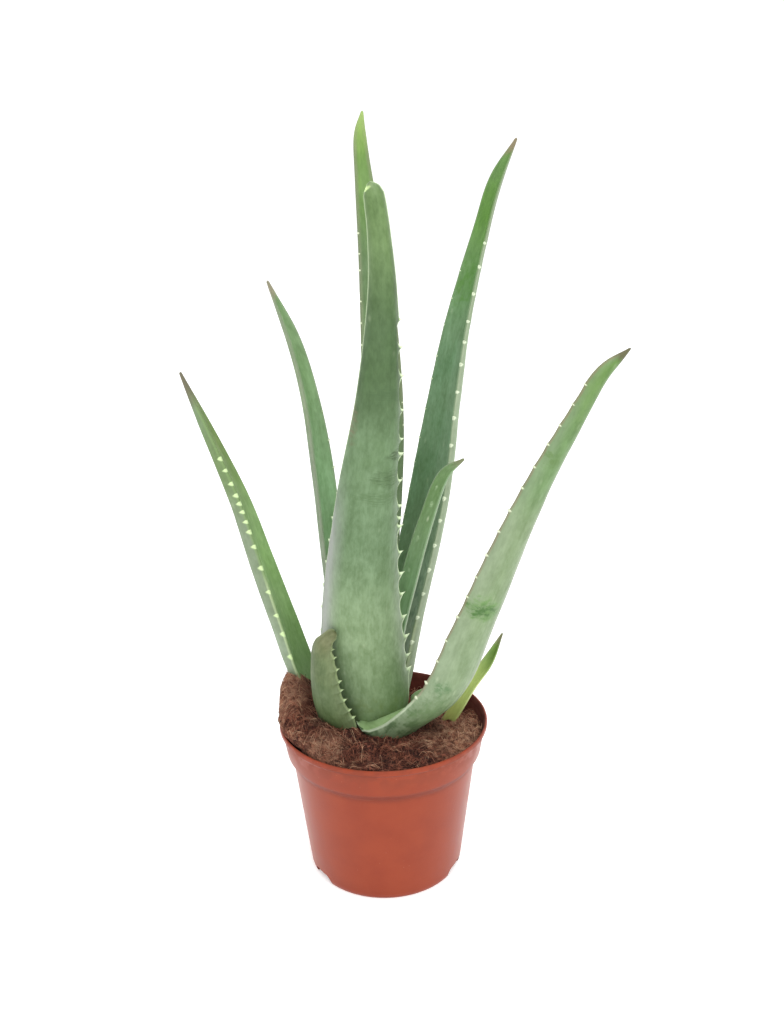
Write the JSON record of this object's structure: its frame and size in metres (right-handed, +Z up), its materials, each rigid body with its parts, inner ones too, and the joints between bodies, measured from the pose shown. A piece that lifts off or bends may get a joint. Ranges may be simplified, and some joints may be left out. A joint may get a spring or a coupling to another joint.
{
  "type": "potted aloe vera",
  "caption": "Potted aloe vera: upright, fleshy, toothed leaves in a loose rosette, in a small round nursery pot of potting mix.",
  "frame": {"origin": "centre of the pot's foot, on the surface that the pot stands on", "axes": "+Z up along the pot's axis and the plant's height, -Y to the front of the pictured view, +X to its right"},
  "size_m": [0.2284, 0.1373, 0.4233],
  "materials": {
    "pot_plastic": "moulded terracotta-red plastic, slight sheen",
    "potting_mix": "loose brown coir and peat with fine tan fibres",
    "stem_bark": "dull brown, dry",
    "leaf_skin": "waxy grey-green skin with a soft sheen",
    "old_leaf_skin": "waxy olive-green skin, browned at the tip",
    "young_leaf_skin": "waxy bright yellow-green skin"
  },
  "bodies": {
    "root": {"pot": "pot_plastic", "potting_mix": "potting_mix", "stem": "stem_bark", "leaf_front": "leaf_skin", "leaf_back_tall": "leaf_skin", "leaf_back_right": "leaf_skin", "leaf_inner_small": "leaf_skin", "leaf_back_left": "leaf_skin", "leaf_left": "leaf_skin", "leaf_right": "leaf_skin", "leaf_front_stub": "old_leaf_skin", "offset_shoot": "young_leaf_skin"}
  },
  "joints": []
}
